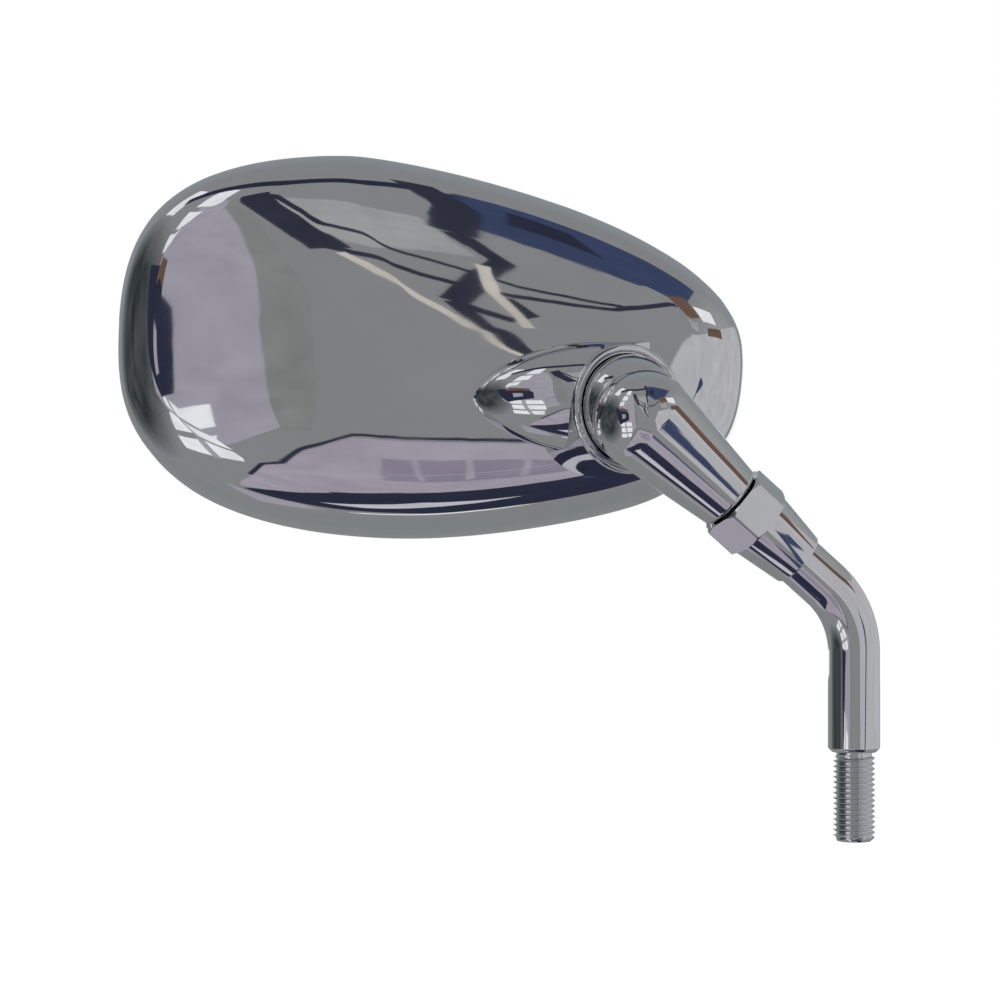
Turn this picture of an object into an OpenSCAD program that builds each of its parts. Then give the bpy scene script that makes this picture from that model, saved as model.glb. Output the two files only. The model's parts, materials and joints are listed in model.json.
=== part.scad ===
// Left-hand motorcycle mirror: threaded lower stem, lock nut, cast elbow arm and a chromed
// teardrop head on a sprung ball joint.
// Millimetres. The origin is the shoulder where the threaded stud leaves the stem, +Z is up,
// the rider looks at the glass from +Y, and the head reaches out along -X.

/* [Lower stem] */
// Outside diameter of the mounting stud
stud_d = 9.9; // [8:0.1:11]
// Length of the mounting stud
stud_len = 21; // [15:1:30]
// Diameter of the bent rod
rod_d = 12.2; // [11.8:0.1:13.4]
// Height of the bend's corner above the shoulder
bend_height = 33.4; // [28:0.2:45]
// Radius of the bend on the rod's centre line
bend_r = 21; // [15:0.5:26]
// Angle between the upper leg and the vertical
arm_tilt = 50; // [42:1:56]
// Turn of the upper leg towards the front
arm_lean = 16; // [8:1:22]
// Diameter of the thread at the upper end of the rod
thread_d = 9.9; // [8:0.1:10.4]
// Length of that thread past the rod's upper shoulder
thread_len = 34; // [26:1:38]

/* [Lock nut] */
// Distance from the bend's corner to the end of the nut's skirt
skirt_start = 18.7; // [15:0.1:24]
// Length of the tapered skirt
skirt_len = 12.7; // [9:0.1:16]
// Least wall of the skirt round the rod
skirt_wall = 0.65; // [0.4:0.05:1.2]
// Width across the flats
nut_af = 17; // [16:0.5:19]
// Length of the hexagon
hex_len = 8.9; // [6:0.1:12]

/* [Arm] */
// Gap between the nut and the arm
nut_gap = 0.3; // [0.2:0.05:0.6]
// Diameter of the arm at the nut
arm_tip_d = 16.3; // [14.5:0.1:18]
// Diameter of the elbow
elbow_d = 23.2; // [21:0.2:25]
// Distance from the bend's corner to the elbow's centre
elbow_dist = 68.4; // [64:0.2:76]
// Depth of the tapped hole in the arm
arm_hole_depth = 19; // [14:0.5:22]
// Rounding of the arm's end
arm_end_r = 1.2; // [0.6:0.1:2]
// Way from the elbow out to the ball's centre
ball_out = 2.9; // [1:0.1:5]
// Way from the elbow back to the ball's centre
ball_back = 13; // [12:0.1:15]
// Way from the elbow up to the ball's centre
ball_up = 3.7; // [1:0.1:5]
// Diameter of the ball
ball_d = 25.6; // [24:0.2:27]

/* [Ball joint] */
// Play between the pieces that slide on each other
joint_gap = 0.3; // [0.2:0.05:0.4]
// Thickness of the nylon friction ring
liner_t = 0.8; // [0.6:0.1:1.2]
// Thickness of the socket wall
socket_t = 1.9; // [1.6:0.1:2.2]
// Thickness of the domed pressure washer
washer_t = 1.3; // [1:0.1:1.6]
// Diameter of the joint's stud
pin_d = 5; // [4:0.5:5]
// Largest tilt and largest pan of the head, in degrees
head_swing = 9; // [5:0.5:9]
// Height of the compressed spring
spring_h = 7; // [5:0.5:8]
// Diameter of the spring wire
spring_wire = 1.6; // [1:0.1:2]
// Mean diameter of the spring
spring_d = 11; // [10:0.5:12]
// Turns of the spring
spring_turns = 3.5; // [2.5:0.5:4]
// Thickness of the flat washer
flat_t = 1; // [0.8:0.1:1.6]
// Height of the joint's nut
joint_nut_h = 5; // [4:0.5:6]
// Width across the flats of the joint's nut
joint_nut_af = 8; // [8:0.5:10]

/* [Collar] */
// Turn of the collar's mouth towards the inner end of the head
collar_turn = 30; // [20:1:34]
// Width of the collar's rounded lip
lip_w = 2.2; // [1.6:0.1:2.8]
// Length of the boat-shaped pod in front of the collar
pod_len = 30; // [24:1:36]
// Radius of the pod at the collar
pod_r = 13.4; // [12:0.1:14]
// Height of the pod's axis above the ball's centre
pod_up = 3; // [0:0.5:4]
// Fullness of the pod's nose
pod_power = 0.62; // [0.5:0.02:0.8]

/* [Head] */
// Reach of the head beyond the ball's centre
head_out = 126; // [110:0.5:140]
// Reach of the head on the inner side of the ball's centre
head_in = 30.5; // [28:0.5:36]
// Height of the head above the ball's centre
head_up = 65; // [58:0.5:72]
// Depth of the head below the ball's centre
head_down = 30; // [28:0.5:36]
// Distance from the ball's centre back to the rim
rim_back = 36.5; // [36:0.1:40]
// Depth of the head from the rim to the crown
head_depth = 32; // [30:0.5:34]
// Shift of the crown upwards against the rim
crown_up = 2; // [0:0.1:3]
// Shift of the crown outwards against the rim
crown_out = 0.6; // [0:0.1:1.5]
// Thickness of the shell
wall = 2.3; // [2:0.1:2.6]
// Depth of the recess that holds the glass
recess_depth = 5.2; // [5:0.1:7]
// Wall of the rim round that recess
rim_wall = 2; // [1.6:0.1:2.4]

/* [Glass] */
// Radius of the convex glass
glass_r = 1200; // [1000:100:2000]
// Thickness of the glass
glass_t = 2.2; // [1.8:0.1:3]
// Height of the glass above the rim at its middle
glass_proud = 0.8; // [0:0.1:1.4]
// Thickness of the adhesive pad
pad_t = 1; // [0.8:0.1:1.4]
// Thickness of the carrier plate
carrier_t = 2; // [1.6:0.1:2.4]
// Width of the rubber frame round the glass
gasket_w = 1.8; // [1.4:0.1:2.4]
// Diameter of the carrier's window behind the joint
window_d = 29; // [28:0.5:30]
// Diameter of the screw bosses
boss_d = 7; // [6:0.5:8]
// Diameter of the carrier screws
screw_d = 3; // [2.6:0.1:3.4]
// Length of the carrier screws under the head
screw_len = 9; // [8:0.5:12]

/* [Hidden] */
$fn = 96;
OUTLINE_STEPS = 18;      // points on each of the outline's curves

fit_gap = 0.05;          // radial clearance of a running thread
press_gap = 0.02;        // air between pieces of one body
eps = 0.05;              // how far a cut runs past a face

arm_dir = [
    -sin(arm_tilt) * cos(arm_lean),
    -sin(arm_tilt) * sin(arm_lean),
    cos(arm_tilt),
];
nut_start = skirt_start + skirt_len;
arm_start = nut_start + hex_len + nut_gap;
rod_end = skirt_start + 2.5;
elbow_pos = [0, 0, bend_height] + elbow_dist * arm_dir;
ball_pos = elbow_pos + [-ball_out, ball_back, ball_up];

ball_r = ball_d / 2;
elbow_r = elbow_d / 2;
mouth_r = ball_r + joint_gap;
liner_r = ball_r + joint_gap;
socket_r = liner_r + liner_t + joint_gap;
socket_out_r = socket_r + socket_t;
washer_r = socket_out_r + joint_gap;
washer_out_r = washer_r + washer_t;
spring_start = washer_out_r + joint_gap;
flat_start = spring_start + spring_h;
nut_start_y = flat_start + flat_t;
pin_len = nut_start_y + joint_nut_h + 1;
collar_r = mouth_r + lip_w;
pin_angle = asin((pin_d / 2 + 0.1) / ball_r);
swing = acos(pow(cos(head_swing), 2));    // tilt and pan together
hole_angle = pin_angle + swing + 0.6;
socket_step = 52;        // polar angle where the socket narrows to its mouth
liner_in = pin_angle + head_swing + 1.5;
liner_out = socket_step - 12;
washer_out = hole_angle + 8.5;
cup_r = washer_out_r * sin(washer_out + swing) + 0.4;      // room for the washer's swing
cup_floor = washer_r * cos(washer_out + swing) - 0.35;
cup_len = 19;

// Anchors of the head's outline round the ball's centre: place, direction, handles
outline_anchors = [
    [[head_in, 15.5], 90, 23, 32],
    [[-69, head_up], 180, 15, 55],
    [[-head_out, 13], 270, 25, 42],
    [[-53, -head_down], 360, 15, 19],
    [[head_in - 20.5, -head_down + 11], 389, 12, 15],
];
dome_centre = [-47, 17];

// Rings of the shell from the rim to the shoulder of the dome: depth and inset
outer_rings = [
    [0, 0.6], [0.2, 0.2], [0.6, 0], [2.5, 0.05], [7, 0.4], [12, 1], [16, 1.8], [19.2, 3],
    [21.5, 4.7], [23.4, 6.9], [25, 9.6], [26.3, 12.6],
];
dome_steps = 7;
dome_power = 2.4;        // 2 is a plain bowl, more is flatter at the crown
glass_edge = rim_wall + press_gap + gasket_w;
window_x = -(rim_back - 4) * tan(collar_turn);      // where the stud's axis meets the carrier

// Places of the screw bosses and the depth at which each ends inside the dome's wall
boss_places = [[-92, 34, 28.2], [-90, -4, 27.7], [-27, 36, 27.8], [-46, -10, 27.2]];

function bezier(a, b, c, d, t) =
    pow(1 - t, 3) * a + 3 * pow(1 - t, 2) * t * b + 3 * (1 - t) * t * t * c + pow(t, 3) * d;
function bezier_slope(a, b, c, d, t) =
    3 * pow(1 - t, 2) * (b - a) + 6 * (1 - t) * t * (c - b) + 3 * t * t * (d - c);
function heading(angle) = [cos(angle), sin(angle)];
function inset_point(p, slope, inset) =
    p + inset * [-slope[1], slope[0]] / norm(slope);

// The head's outline, moved inwards by inset, counterclockwise seen from the front
function outline(inset) = [
    for (i = [0 : len(outline_anchors) - 1])
        let (
            from = outline_anchors[i],
            to = outline_anchors[(i + 1) % len(outline_anchors)],
            a = from[0],
            b = from[0] + from[3] * heading(from[1]),
            c = to[0] - to[2] * heading(to[1]),
            d = to[0]
        )
        for (k = [0 : OUTLINE_STEPS - 1])
            let (t = k / OUTLINE_STEPS)
            inset_point(bezier(a, b, c, d, t), bezier_slope(a, b, c, d, t), inset)
];
// The head leans a little: its rings move towards the crown below the seat of the glass
function lean(depth) =
    max(0, depth - recess_depth) / (head_depth - recess_depth) * [-crown_out, crown_up];
function ring_at(depth, inset) =
    let (shift = lean(depth))
    [for (p = outline(inset)) [p[0] + shift[0], p[1] + shift[1], depth]];
// The dome inside the last ring: it shrinks towards its centre and flattens at the crown
function dome_ring(edge, crown, t) = [
    for (p = outline(edge[1]))
        let (
            depth = crown - (crown - edge[0]) * pow(t, dome_power),
            q = dome_centre + t * (p - dome_centre) + lean(depth)
        )
        [q[0], q[1], depth]
];

module at_bend() {
    translate([0, 0, bend_height])
        rotate([0, 0, 180 + arm_lean])
            rotate([0, arm_tilt, 0])
                children();
}

// Ball joint frame: the local Z axis runs square to the collar's mouth into the head
module at_joint() {
    translate(ball_pos) rotate([-90, 0, collar_turn]) children();
}

// Head frame: seen from the front, depth grows from the rim towards the crown
module at_rim() {
    translate(ball_pos + [0, rim_back, 0]) rotate([90, 0, 0]) children();
}

// A closed skin through rings of equal length, with flat ends
module skin(rings) {
    count = len(rings[0]);
    last = len(rings) - 1;
    points = [for (ring = rings) each ring];
    sides = [
        for (r = [0 : last - 1])
            for (i = [0 : count - 1])
                let (j = (i + 1) % count, a = r * count, b = a + count)
                each [[a + i, b + i, b + j], [a + i, b + j, a + j]]
    ];
    floor_face = [for (i = [0 : count - 1]) i];
    roof_face = [for (i = [count - 1 : -1 : 0]) last * count + i];
    polyhedron(points = points, faces = concat([floor_face], sides, [roof_face]), convexity = 6);
}

module hexagon(af) {
    circle(d = af / cos(30), $fn = 6);
}

// A turned ring between two concentric spheres and two polar angles
module spherical_ring(r_in, r_out, from, to) {
    steps = 12;
    rotate_extrude()
        polygon(concat(
            [for (i = [0 : steps])
                let (a = from + (to - from) * i / steps) r_out * [sin(a), cos(a)]],
            [for (i = [steps : -1 : 0])
                let (a = from + (to - from) * i / steps) r_in * [sin(a), cos(a)]]
        ));
}

// A turned shaft: a list of [height, radius] up its outline
module shaft(outline_points) {
    first = outline_points[0];
    last = outline_points[len(outline_points) - 1];
    rotate_extrude()
        polygon(concat(
            [[0, first[0]]],
            [for (p = outline_points) [p[1], p[0]]],
            [[0, last[0]]]
        ));
}

module lower_stem() {
    tangent = bend_r * tan(arm_tilt / 2);
    chamfer = 1;
    seat = 0.5;          // how far each leg is sunk into the bend
    leg_r = rod_d / 2 - 0.06;
    stud_r = stud_d / 2;
    thread_r = thread_d / 2;
    color("silver") {
        rotate([0, 0, 180 + arm_lean]) {
            // Stud, chamfered shoulder and lower leg
            shaft([
                [-stud_len, stud_r - chamfer], [chamfer - stud_len, stud_r], [0, stud_r],
                [0, leg_r - chamfer], [chamfer, leg_r], [bend_height - tangent + seat, leg_r],
            ]);
            // Bend
            translate([bend_r, 0, bend_height - tangent])
                rotate([90, 0, 0])
                    rotate([0, 0, 180 - arm_tilt])
                        rotate_extrude(angle = arm_tilt)
                            translate([bend_r, 0]) circle(d = rod_d);
        }
        // Upper leg, its shoulder and the thread that carries the nut and the arm
        at_bend()
            shaft([
                [tangent - seat, leg_r], [rod_end - chamfer, leg_r], [rod_end, leg_r - chamfer],
                [rod_end, thread_r], [rod_end + thread_len - chamfer, thread_r],
                [rod_end + thread_len, thread_r - chamfer],
            ]);
    }
}

module lock_nut() {
    bore_r = rod_d / 2 + 0.1;
    tip_r = bore_r + skirt_wall;
    root_r = nut_af / 2;
    corner_r = nut_af / 2 / cos(30);
    cut = 1.1;
    color("silver")
        at_bend()
            difference() {
                union() {
                    translate([0, 0, skirt_start])
                        rotate_extrude()
                            polygon([
                                [0, 0], [tip_r - 0.5, 0], [tip_r - 0.15, 0.15], [tip_r, 0.5],
                                [root_r, skirt_len + 0.6], [0, skirt_len + 0.6],
                            ]);
                    // Hexagon with both ends chamfered round
                    intersection() {
                        translate([0, 0, nut_start])
                            linear_extrude(height = hex_len) hexagon(nut_af);
                        translate([0, 0, nut_start])
                            rotate_extrude()
                                polygon([
                                    [0, 0], [corner_r - cut, 0], [corner_r + 0.4, cut + 0.2],
                                    [corner_r + 0.4, hex_len - cut - 0.2],
                                    [corner_r - cut, hex_len], [0, hex_len],
                                ]);
                    }
                }
                translate([0, 0, skirt_start - eps])
                    cylinder(r = bore_r, h = rod_end - skirt_start + 1);
                cylinder(d = thread_d + 2 * fit_gap, h = arm_start + 1);
            }
}

module arm() {
    tip_r = arm_tip_d / 2;
    taper = elbow_dist - arm_start;
    color("silver")
        difference() {
            union() {
                // Ball and elbow
                translate(ball_pos) sphere(r = ball_r);
                translate(elbow_pos) sphere(r = elbow_r);
                neck();
                // Tapered arm down to its rounded end
                at_bend() translate([0, 0, arm_start])
                    rotate_extrude()
                        polygon(concat(
                            [[0, 0]],
                            [for (a = [0 : 15 : 90])
                                [tip_r - arm_end_r + arm_end_r * sin(a), arm_end_r - arm_end_r * cos(a)]],
                            [[elbow_r - 0.12, taper - elbow_r * 0.12], [0, taper]]
                        ));
            }
            at_bend() cylinder(d = thread_d + 2 * fit_gap, h = arm_start + arm_hole_depth);
            at_joint() cylinder(d = pin_d + 2 * press_gap, h = ball_r + 1);
        }
}

// Fillet between the ball and the elbow, turned about the line through both centres
module neck() {
    axis = elbow_pos - ball_pos;
    d = norm(axis);
    f = 2;
    fx = (d * d + pow(ball_r + f, 2) - pow(elbow_r + f, 2)) / (2 * d);
    fy = sqrt(pow(ball_r + f, 2) - fx * fx);
    to_ball = atan2(fy, fx);
    to_elbow = atan2(fy, d - fx);
    arc_from = -180 + to_ball;
    arc_to = -to_elbow;
    steps = 8;
    slack = 0.03;        // the fillet's feet start just under both balls
    translate(ball_pos)
        rotate([0, acos(axis[2] / d), atan2(axis[1], axis[0])])
            rotate_extrude()
                polygon(concat(
                    [[0, 2]],
                    [for (i = [0 : steps])
                        let (a = arc_from + (arc_to - arc_from) * i / steps)
                        [fy + (f + slack) * sin(a), fx + (f + slack) * cos(a)]],
                    [[0, d - 2]]
                ));
}

module ball_stud() {
    color("gray")
        at_joint()
            translate([0, 0, 1]) {
                cylinder(d = pin_d, h = pin_len - 2);
                translate([0, 0, pin_len - 2]) cylinder(d1 = pin_d, d2 = pin_d - 1.4, h = 0.7);
            }
}

module pressure_washer() {
    color("gray")
        at_joint()
            difference() {
                union() {
                    spherical_ring(washer_r, washer_out_r, pin_angle - 1, washer_out);
                    // Flat land that seats the spring
                    translate([0, 0, washer_out_r - 2.6]) cylinder(r = spring_d / 2 + 1.4, h = 2.6);
                }
                sphere(r = washer_r);
                translate([0, 0, washer_r - 4]) cylinder(d = pin_d + 2 * joint_gap, h = 9);
            }
}

module friction_ring() {
    color("ivory") at_joint() spherical_ring(liner_r, liner_r + liner_t, liner_in, liner_out);
}

module joint_spring() {
    sides = 10;
    steps_per_turn = 20;
    steps = round(spring_turns * steps_per_turn);
    rise = spring_h - spring_wire - 0.1;
    wire_r = spring_wire / 2;
    coil_r = spring_d / 2;
    rings = [
        for (i = [0 : steps])
            let (a = 360 * i / steps_per_turn, z = 0.05 + wire_r + rise * i / steps)
            [for (k = [0 : sides - 1])
                let (b = 360 * k / sides, r = coil_r + wire_r * cos(b))
                [r * cos(a), r * sin(a), z + wire_r * sin(b)]]
    ];
    color("dimgray") at_joint() translate([0, 0, spring_start]) skin(rings);
}

module flat_washer() {
    color("gray")
        at_joint()
            translate([0, 0, flat_start])
                difference() {
                    cylinder(r = spring_d / 2 + 1.4, h = flat_t);
                    translate([0, 0, -1]) cylinder(d = pin_d + 2 * joint_gap, h = flat_t + 2);
                }
}

module joint_nut() {
    corner_r = joint_nut_af / 2 / cos(30);
    insert_h = joint_nut_h * 0.3;
    color("gray")
        at_joint()
            translate([0, 0, nut_start_y])
                difference() {
                    intersection() {
                        linear_extrude(height = joint_nut_h) hexagon(joint_nut_af);
                        cylinder(r1 = corner_r, r2 = corner_r - joint_nut_h * 0.12, h = joint_nut_h);
                    }
                    translate([0, 0, -1]) cylinder(d = pin_d + 2 * fit_gap, h = joint_nut_h + 2);
                    translate([0, 0, joint_nut_h - insert_h - 0.4])
                        cylinder(d = pin_d + 2.4, h = insert_h);
                }
}

module nut_insert() {
    insert_h = joint_nut_h * 0.3;
    color("royalblue")
        at_joint()
            translate([0, 0, nut_start_y + joint_nut_h - insert_h - 0.4 + press_gap])
                difference() {
                    cylinder(d = pin_d + 2.4 - 2 * press_gap, h = insert_h - 2 * press_gap);
                    translate([0, 0, -1]) cylinder(d = pin_d + 2 * press_gap, h = insert_h + 2);
                }
}

module outer_form() {
    edge = outer_rings[len(outer_rings) - 1];
    at_rim()
        skin(concat(
            [for (r = outer_rings) ring_at(r[0], r[1])],
            [for (k = [dome_steps - 1 : -1 : 1]) dome_ring(edge, head_depth, k / dome_steps)],
            [dome_ring(edge, head_depth, 0.04)]
        ));
}

module inner_form() {
    edge = [outer_rings[len(outer_rings) - 1][0] - wall, outer_rings[len(outer_rings) - 1][1] + wall * 0.6];
    at_rim()
        skin(concat(
            [
                ring_at(-1, rim_wall),
                ring_at(recess_depth, rim_wall),
                ring_at(recess_depth, rim_wall + 1.4),
                ring_at(12, 1 + wall),
                ring_at(15.6, 1.8 + wall),
                ring_at(18.4, 3 + wall),
                ring_at(20.1, 4.7 + wall * 0.9),
                ring_at(21.6, 6.9 + wall * 0.8),
                ring_at(22.9, 9.6 + wall * 0.7),
            ],
            [for (k = [dome_steps : -1 : 1])
                dome_ring(edge, head_depth - wall, k / dome_steps)],
            [dome_ring(edge, head_depth - wall, 0.04)]
        ));
}

// Boat-shaped pod, a body turned about an axis that lies in the dome's surface
module pod(shrink) {
    steps = 16;
    r = pod_r - shrink;
    length = pod_len - shrink;
    tail = 12;
    axis_back = rim_back - head_depth + 1.5;
    translate(ball_pos + [-length - (pod_r - shrink) * 0.52, axis_back, pod_up])
        rotate([0, 90, 0])
            rotate_extrude()
                polygon(concat(
                    [for (i = [0 : steps])
                        let (u = 1 - cos(90 * i / steps))
                        [r * pow(1 - pow(1 - u, 2), pod_power), length * u]],
                    [[r, length + tail], [0, length + tail]]
                ));
}

module in_front_of_collar(lift) {
    at_joint() translate([-60, -60, -60 - lift]) cube([120, 120, 60]);
}

// The joint's housing, turned in one: lip, socket, the stud's hole and the washer's cup
module joint_housing() {
    lip_r = lip_w / 2 - 0.05;
    lip_x = mouth_r + lip_r + 0.2;
    lip_z = 0.2;
    inner_turn = asin(lip_z / lip_r);
    outer_turn = acos((collar_r - lip_x) / lip_r);
    floor_angle = acos(cup_floor / socket_out_r);
    steps = 10;
    at_joint()
        rotate_extrude()
            polygon(concat(
                [[mouth_r, 0]],
                [for (i = [0 : steps])
                    let (a = 180 + inner_turn + (180 - inner_turn + outer_turn) * i / steps)
                    [lip_x + lip_r * cos(a), lip_z + lip_r * sin(a)]],
                [[collar_r, cup_len], [cup_r, cup_len], [cup_r, cup_floor]],
                spherical_arc(socket_out_r, floor_angle, hole_angle),
                spherical_arc(socket_r, hole_angle, socket_step),
                spherical_arc(mouth_r, socket_step, 88)
            ));
}
function spherical_arc(r, from, to, steps = 8) = [
    for (i = [0 : steps])
        let (a = from + (to - from) * i / steps) r * [sin(a), cos(a)]
];

module housing_shell() {
    color("silver")
        difference() {
            union() {
                difference() {
                    union() {
                        outer_form();
                        difference() {
                            pod(0);
                            in_front_of_collar(0);
                        }
                    }
                    inner_form();
                    difference() {
                        pod(wall);
                        in_front_of_collar(-wall);
                    }
                    at_joint() translate([0, 0, -30]) cylinder(r = collar_r - 1, h = 30 + cup_len);
                }
                joint_housing();
                screw_bosses();
            }
            boss_holes();
        }
}

module screw_bosses() {
    at_rim()
        for (p = boss_places)
            translate([p[0], p[1], boss_top(p)]) cylinder(d = boss_d, h = p[2] - boss_top(p));
}

module boss_holes() {
    at_rim()
        for (p = boss_places)
            translate([p[0], p[1], boss_top(p) - 1])
                cylinder(d = screw_d + 2 * press_gap, h = screw_len + 2);
}

// Depth below the rim of the sphere that lies down under the middle of the glass
function glass_depth(p, down) =
    let (e = norm([p[0], p[1]] - dome_centre))
    -glass_proud + down + glass_r - sqrt(glass_r * glass_r - e * e);
function boss_top(p) = glass_depth(p + [-boss_d / 2, 0, 0], glass_t + pad_t + carrier_t) + 0.2;

// The space between two spheres that are concentric with the glass
module glass_layer(top, thickness) {
    translate([dome_centre[0], dome_centre[1], 0])
        difference() {
            translate([0, 0, -glass_proud + top + glass_r]) sphere(r = glass_r, $fn = 200);
            translate([0, 0, -glass_proud + top + glass_r]) sphere(r = glass_r - thickness, $fn = 200);
        }
}

module glass_plate(inset, top, thickness) {
    intersection() {
        translate([0, 0, -3]) linear_extrude(height = 12) polygon(outline(inset));
        glass_layer(top, thickness);
    }
}

module mirror_glass() {
    color("lightsteelblue") at_rim() glass_plate(glass_edge, 0, glass_t);
}

module adhesive_pad() {
    color("dimgray")
        at_rim()
            difference() {
                glass_plate(glass_edge + 1, glass_t + press_gap, pad_t - 2 * press_gap);
                translate([window_x, 0, -5]) cylinder(d = window_d + 2, h = 20);
            }
}

module glass_carrier() {
    color("dimgray")
        at_rim()
            difference() {
                glass_plate(glass_edge, glass_t + pad_t, carrier_t);
                translate([window_x, 0, -5]) cylinder(d = window_d, h = 20);
                for (p = boss_places)
                    translate([p[0], p[1], -5]) {
                        cylinder(d = screw_d + 0.4, h = 20);
                        cylinder(d = screw_d * 2 + 0.4, h = 5 + glass_depth(p, glass_t + pad_t) + 1.2);
                    }
            }
}

module carrier_screws() {
    head_h = 1;
    color("gray")
        at_rim()
            for (p = boss_places)
                translate([p[0], p[1], glass_depth(p, glass_t + pad_t) + 1.2 - head_h])
                    difference() {
                        union() {
                            cylinder(d = screw_d * 2, h = head_h);
                            cylinder(d = screw_d, h = screw_len);
                        }
                        translate([0, 0, -eps]) linear_extrude(height = 0.6) cross_slot();
                    }
}

module cross_slot() {
    square([screw_d * 0.9, 0.6], center = true);
    square([0.6, screw_d * 0.9], center = true);
}

module glass_gasket() {
    color("black")
        at_rim()
            difference() {
                translate([0, 0, 0.15])
                    linear_extrude(height = recess_depth - 0.15 - press_gap)
                        polygon(outline(rim_wall + press_gap));
                translate([0, 0, -1]) linear_extrude(height = 12) polygon(outline(glass_edge - press_gap));
            }
}

lower_stem();
lock_nut();
arm();
ball_stud();
pressure_washer();
friction_ring();
joint_spring();
flat_washer();
joint_nut();
nut_insert();
housing_shell();
glass_carrier();
carrier_screws();
adhesive_pad();
mirror_glass();
glass_gasket();
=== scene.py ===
"""Chromed teardrop motorcycle mirror: plated castings, cut threads, glass and a studio."""

import json
import math

import bmesh
import bpy
from bpy.props import FloatProperty, FloatVectorProperty, PointerProperty
from mathutils import Matrix, Vector


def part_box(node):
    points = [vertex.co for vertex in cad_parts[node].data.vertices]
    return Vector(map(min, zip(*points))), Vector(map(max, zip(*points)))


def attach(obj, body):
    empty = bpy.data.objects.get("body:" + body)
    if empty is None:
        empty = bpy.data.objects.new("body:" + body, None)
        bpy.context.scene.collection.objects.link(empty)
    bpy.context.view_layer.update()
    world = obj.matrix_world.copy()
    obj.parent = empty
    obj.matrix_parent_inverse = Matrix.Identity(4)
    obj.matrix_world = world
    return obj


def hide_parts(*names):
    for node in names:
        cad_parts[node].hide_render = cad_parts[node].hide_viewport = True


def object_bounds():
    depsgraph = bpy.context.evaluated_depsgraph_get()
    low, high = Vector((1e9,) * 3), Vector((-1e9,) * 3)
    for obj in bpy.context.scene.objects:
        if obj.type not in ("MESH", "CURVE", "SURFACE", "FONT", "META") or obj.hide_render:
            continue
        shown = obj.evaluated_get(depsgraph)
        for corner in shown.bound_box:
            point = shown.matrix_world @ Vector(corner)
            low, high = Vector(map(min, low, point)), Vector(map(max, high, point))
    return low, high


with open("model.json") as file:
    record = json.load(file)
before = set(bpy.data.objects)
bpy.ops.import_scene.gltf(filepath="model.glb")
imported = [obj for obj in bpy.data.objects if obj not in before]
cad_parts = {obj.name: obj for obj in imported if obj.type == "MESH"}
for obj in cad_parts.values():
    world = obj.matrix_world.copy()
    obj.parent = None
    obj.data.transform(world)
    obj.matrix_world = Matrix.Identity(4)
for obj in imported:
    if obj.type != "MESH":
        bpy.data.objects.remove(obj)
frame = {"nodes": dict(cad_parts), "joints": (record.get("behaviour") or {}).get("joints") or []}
CAD_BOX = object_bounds()

bl_info = {
    "name": "Chrome motorcycle mirror",
    "version": (1, 0, 0),
    "blender": (4, 5, 0),
    "location": "View3D > Sidebar > Mirror",
    "description": "Builds the plated pieces of a motorcycle mirror round its CAD frame",
    "category": "Object",
}

MM = 0.001

JOINTS = {joint["name"]: joint for joint in frame["joints"]}
BEND_CORNER = Vector(JOINTS["arm_swivel"]["pos_m"])
ARM_AXIS = Vector(JOINTS["arm_swivel"]["axis"]).normalized()
BALL_CENTRE = Vector(JOINTS["head_roll"]["pos_m"])
HEAD_LOW, HEAD_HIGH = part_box("housing_shell")

# The head's outline seen from the front, in millimetres round the ball's centre:
# anchor, direction in degrees, handle before and handle after it
HEAD_OUTLINE = [
    ((30.5, 15.5), 90, 23, 32),
    ((-69, 65), 180, 15, 55),
    ((-126, 13), 270, 25, 42),
    ((-53, -30), 360, 15, 19),
    ((10, -19), 389, 12, 15),
]
DOME_CENTRE = Vector((-47, 17))
# Screw bosses: x and z round the ball's centre, depth where each starts and ends
BOSS_PLACES = [
    (-92, 34, 6.8, 26.8), (-90, -4, 6.8, 25.6), (-27, 36, 6.5, 26.6), (-46, -10, 6.4, 25.2),
]
BOSS_RADIUS = 3.5 * MM
SCREW_HOLE_RADIUS = 1.52 * MM
SCREW_HOLE_START = 2 * MM
SCREW_HOLE_REACH = 10  # millimetres past the boss's start

# Handles of the curve from the rim to the shoulder, as depth and inset
SIDE_HANDLES = (Vector((19 * MM, 0.3 * MM)), Vector((22.6 * MM, 4 * MM)))
RIM_STEPS = 5
DOME_SOFT_FROM = 14 * MM
DOME_SOFT_PASSES = 60
GLASS_SEAT = 1.4 * MM
INNER_WALL_FROM = 8 * MM
POD_TAIL = 12 * MM
POD_TIP_SHARE = 0.52
THREAD_PLAY = 0.05 * MM
TUCK = 0.01 * MM
NUT_EDGE_BEVEL = 0.35 * MM
SKIRT_ROUND = 0.45 * MM
TOOTH_FACE = 0.04 * MM


def length_prop(name, description, default_mm):
    """A size in metres whose default is given in millimetres."""
    return FloatProperty(
        name=name, description=description, default=default_mm * MM,
        unit="LENGTH", precision=5,
    )


def angle_prop(name, description, default_degrees):
    return FloatProperty(
        name=name, description=description, default=math.radians(default_degrees),
        subtype="ANGLE",
    )


def colour_prop(name, description, default):
    return FloatVectorProperty(
        name=name, description=description, default=default, size=3,
        subtype="COLOR", min=0.0, max=1.0,
    )


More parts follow.
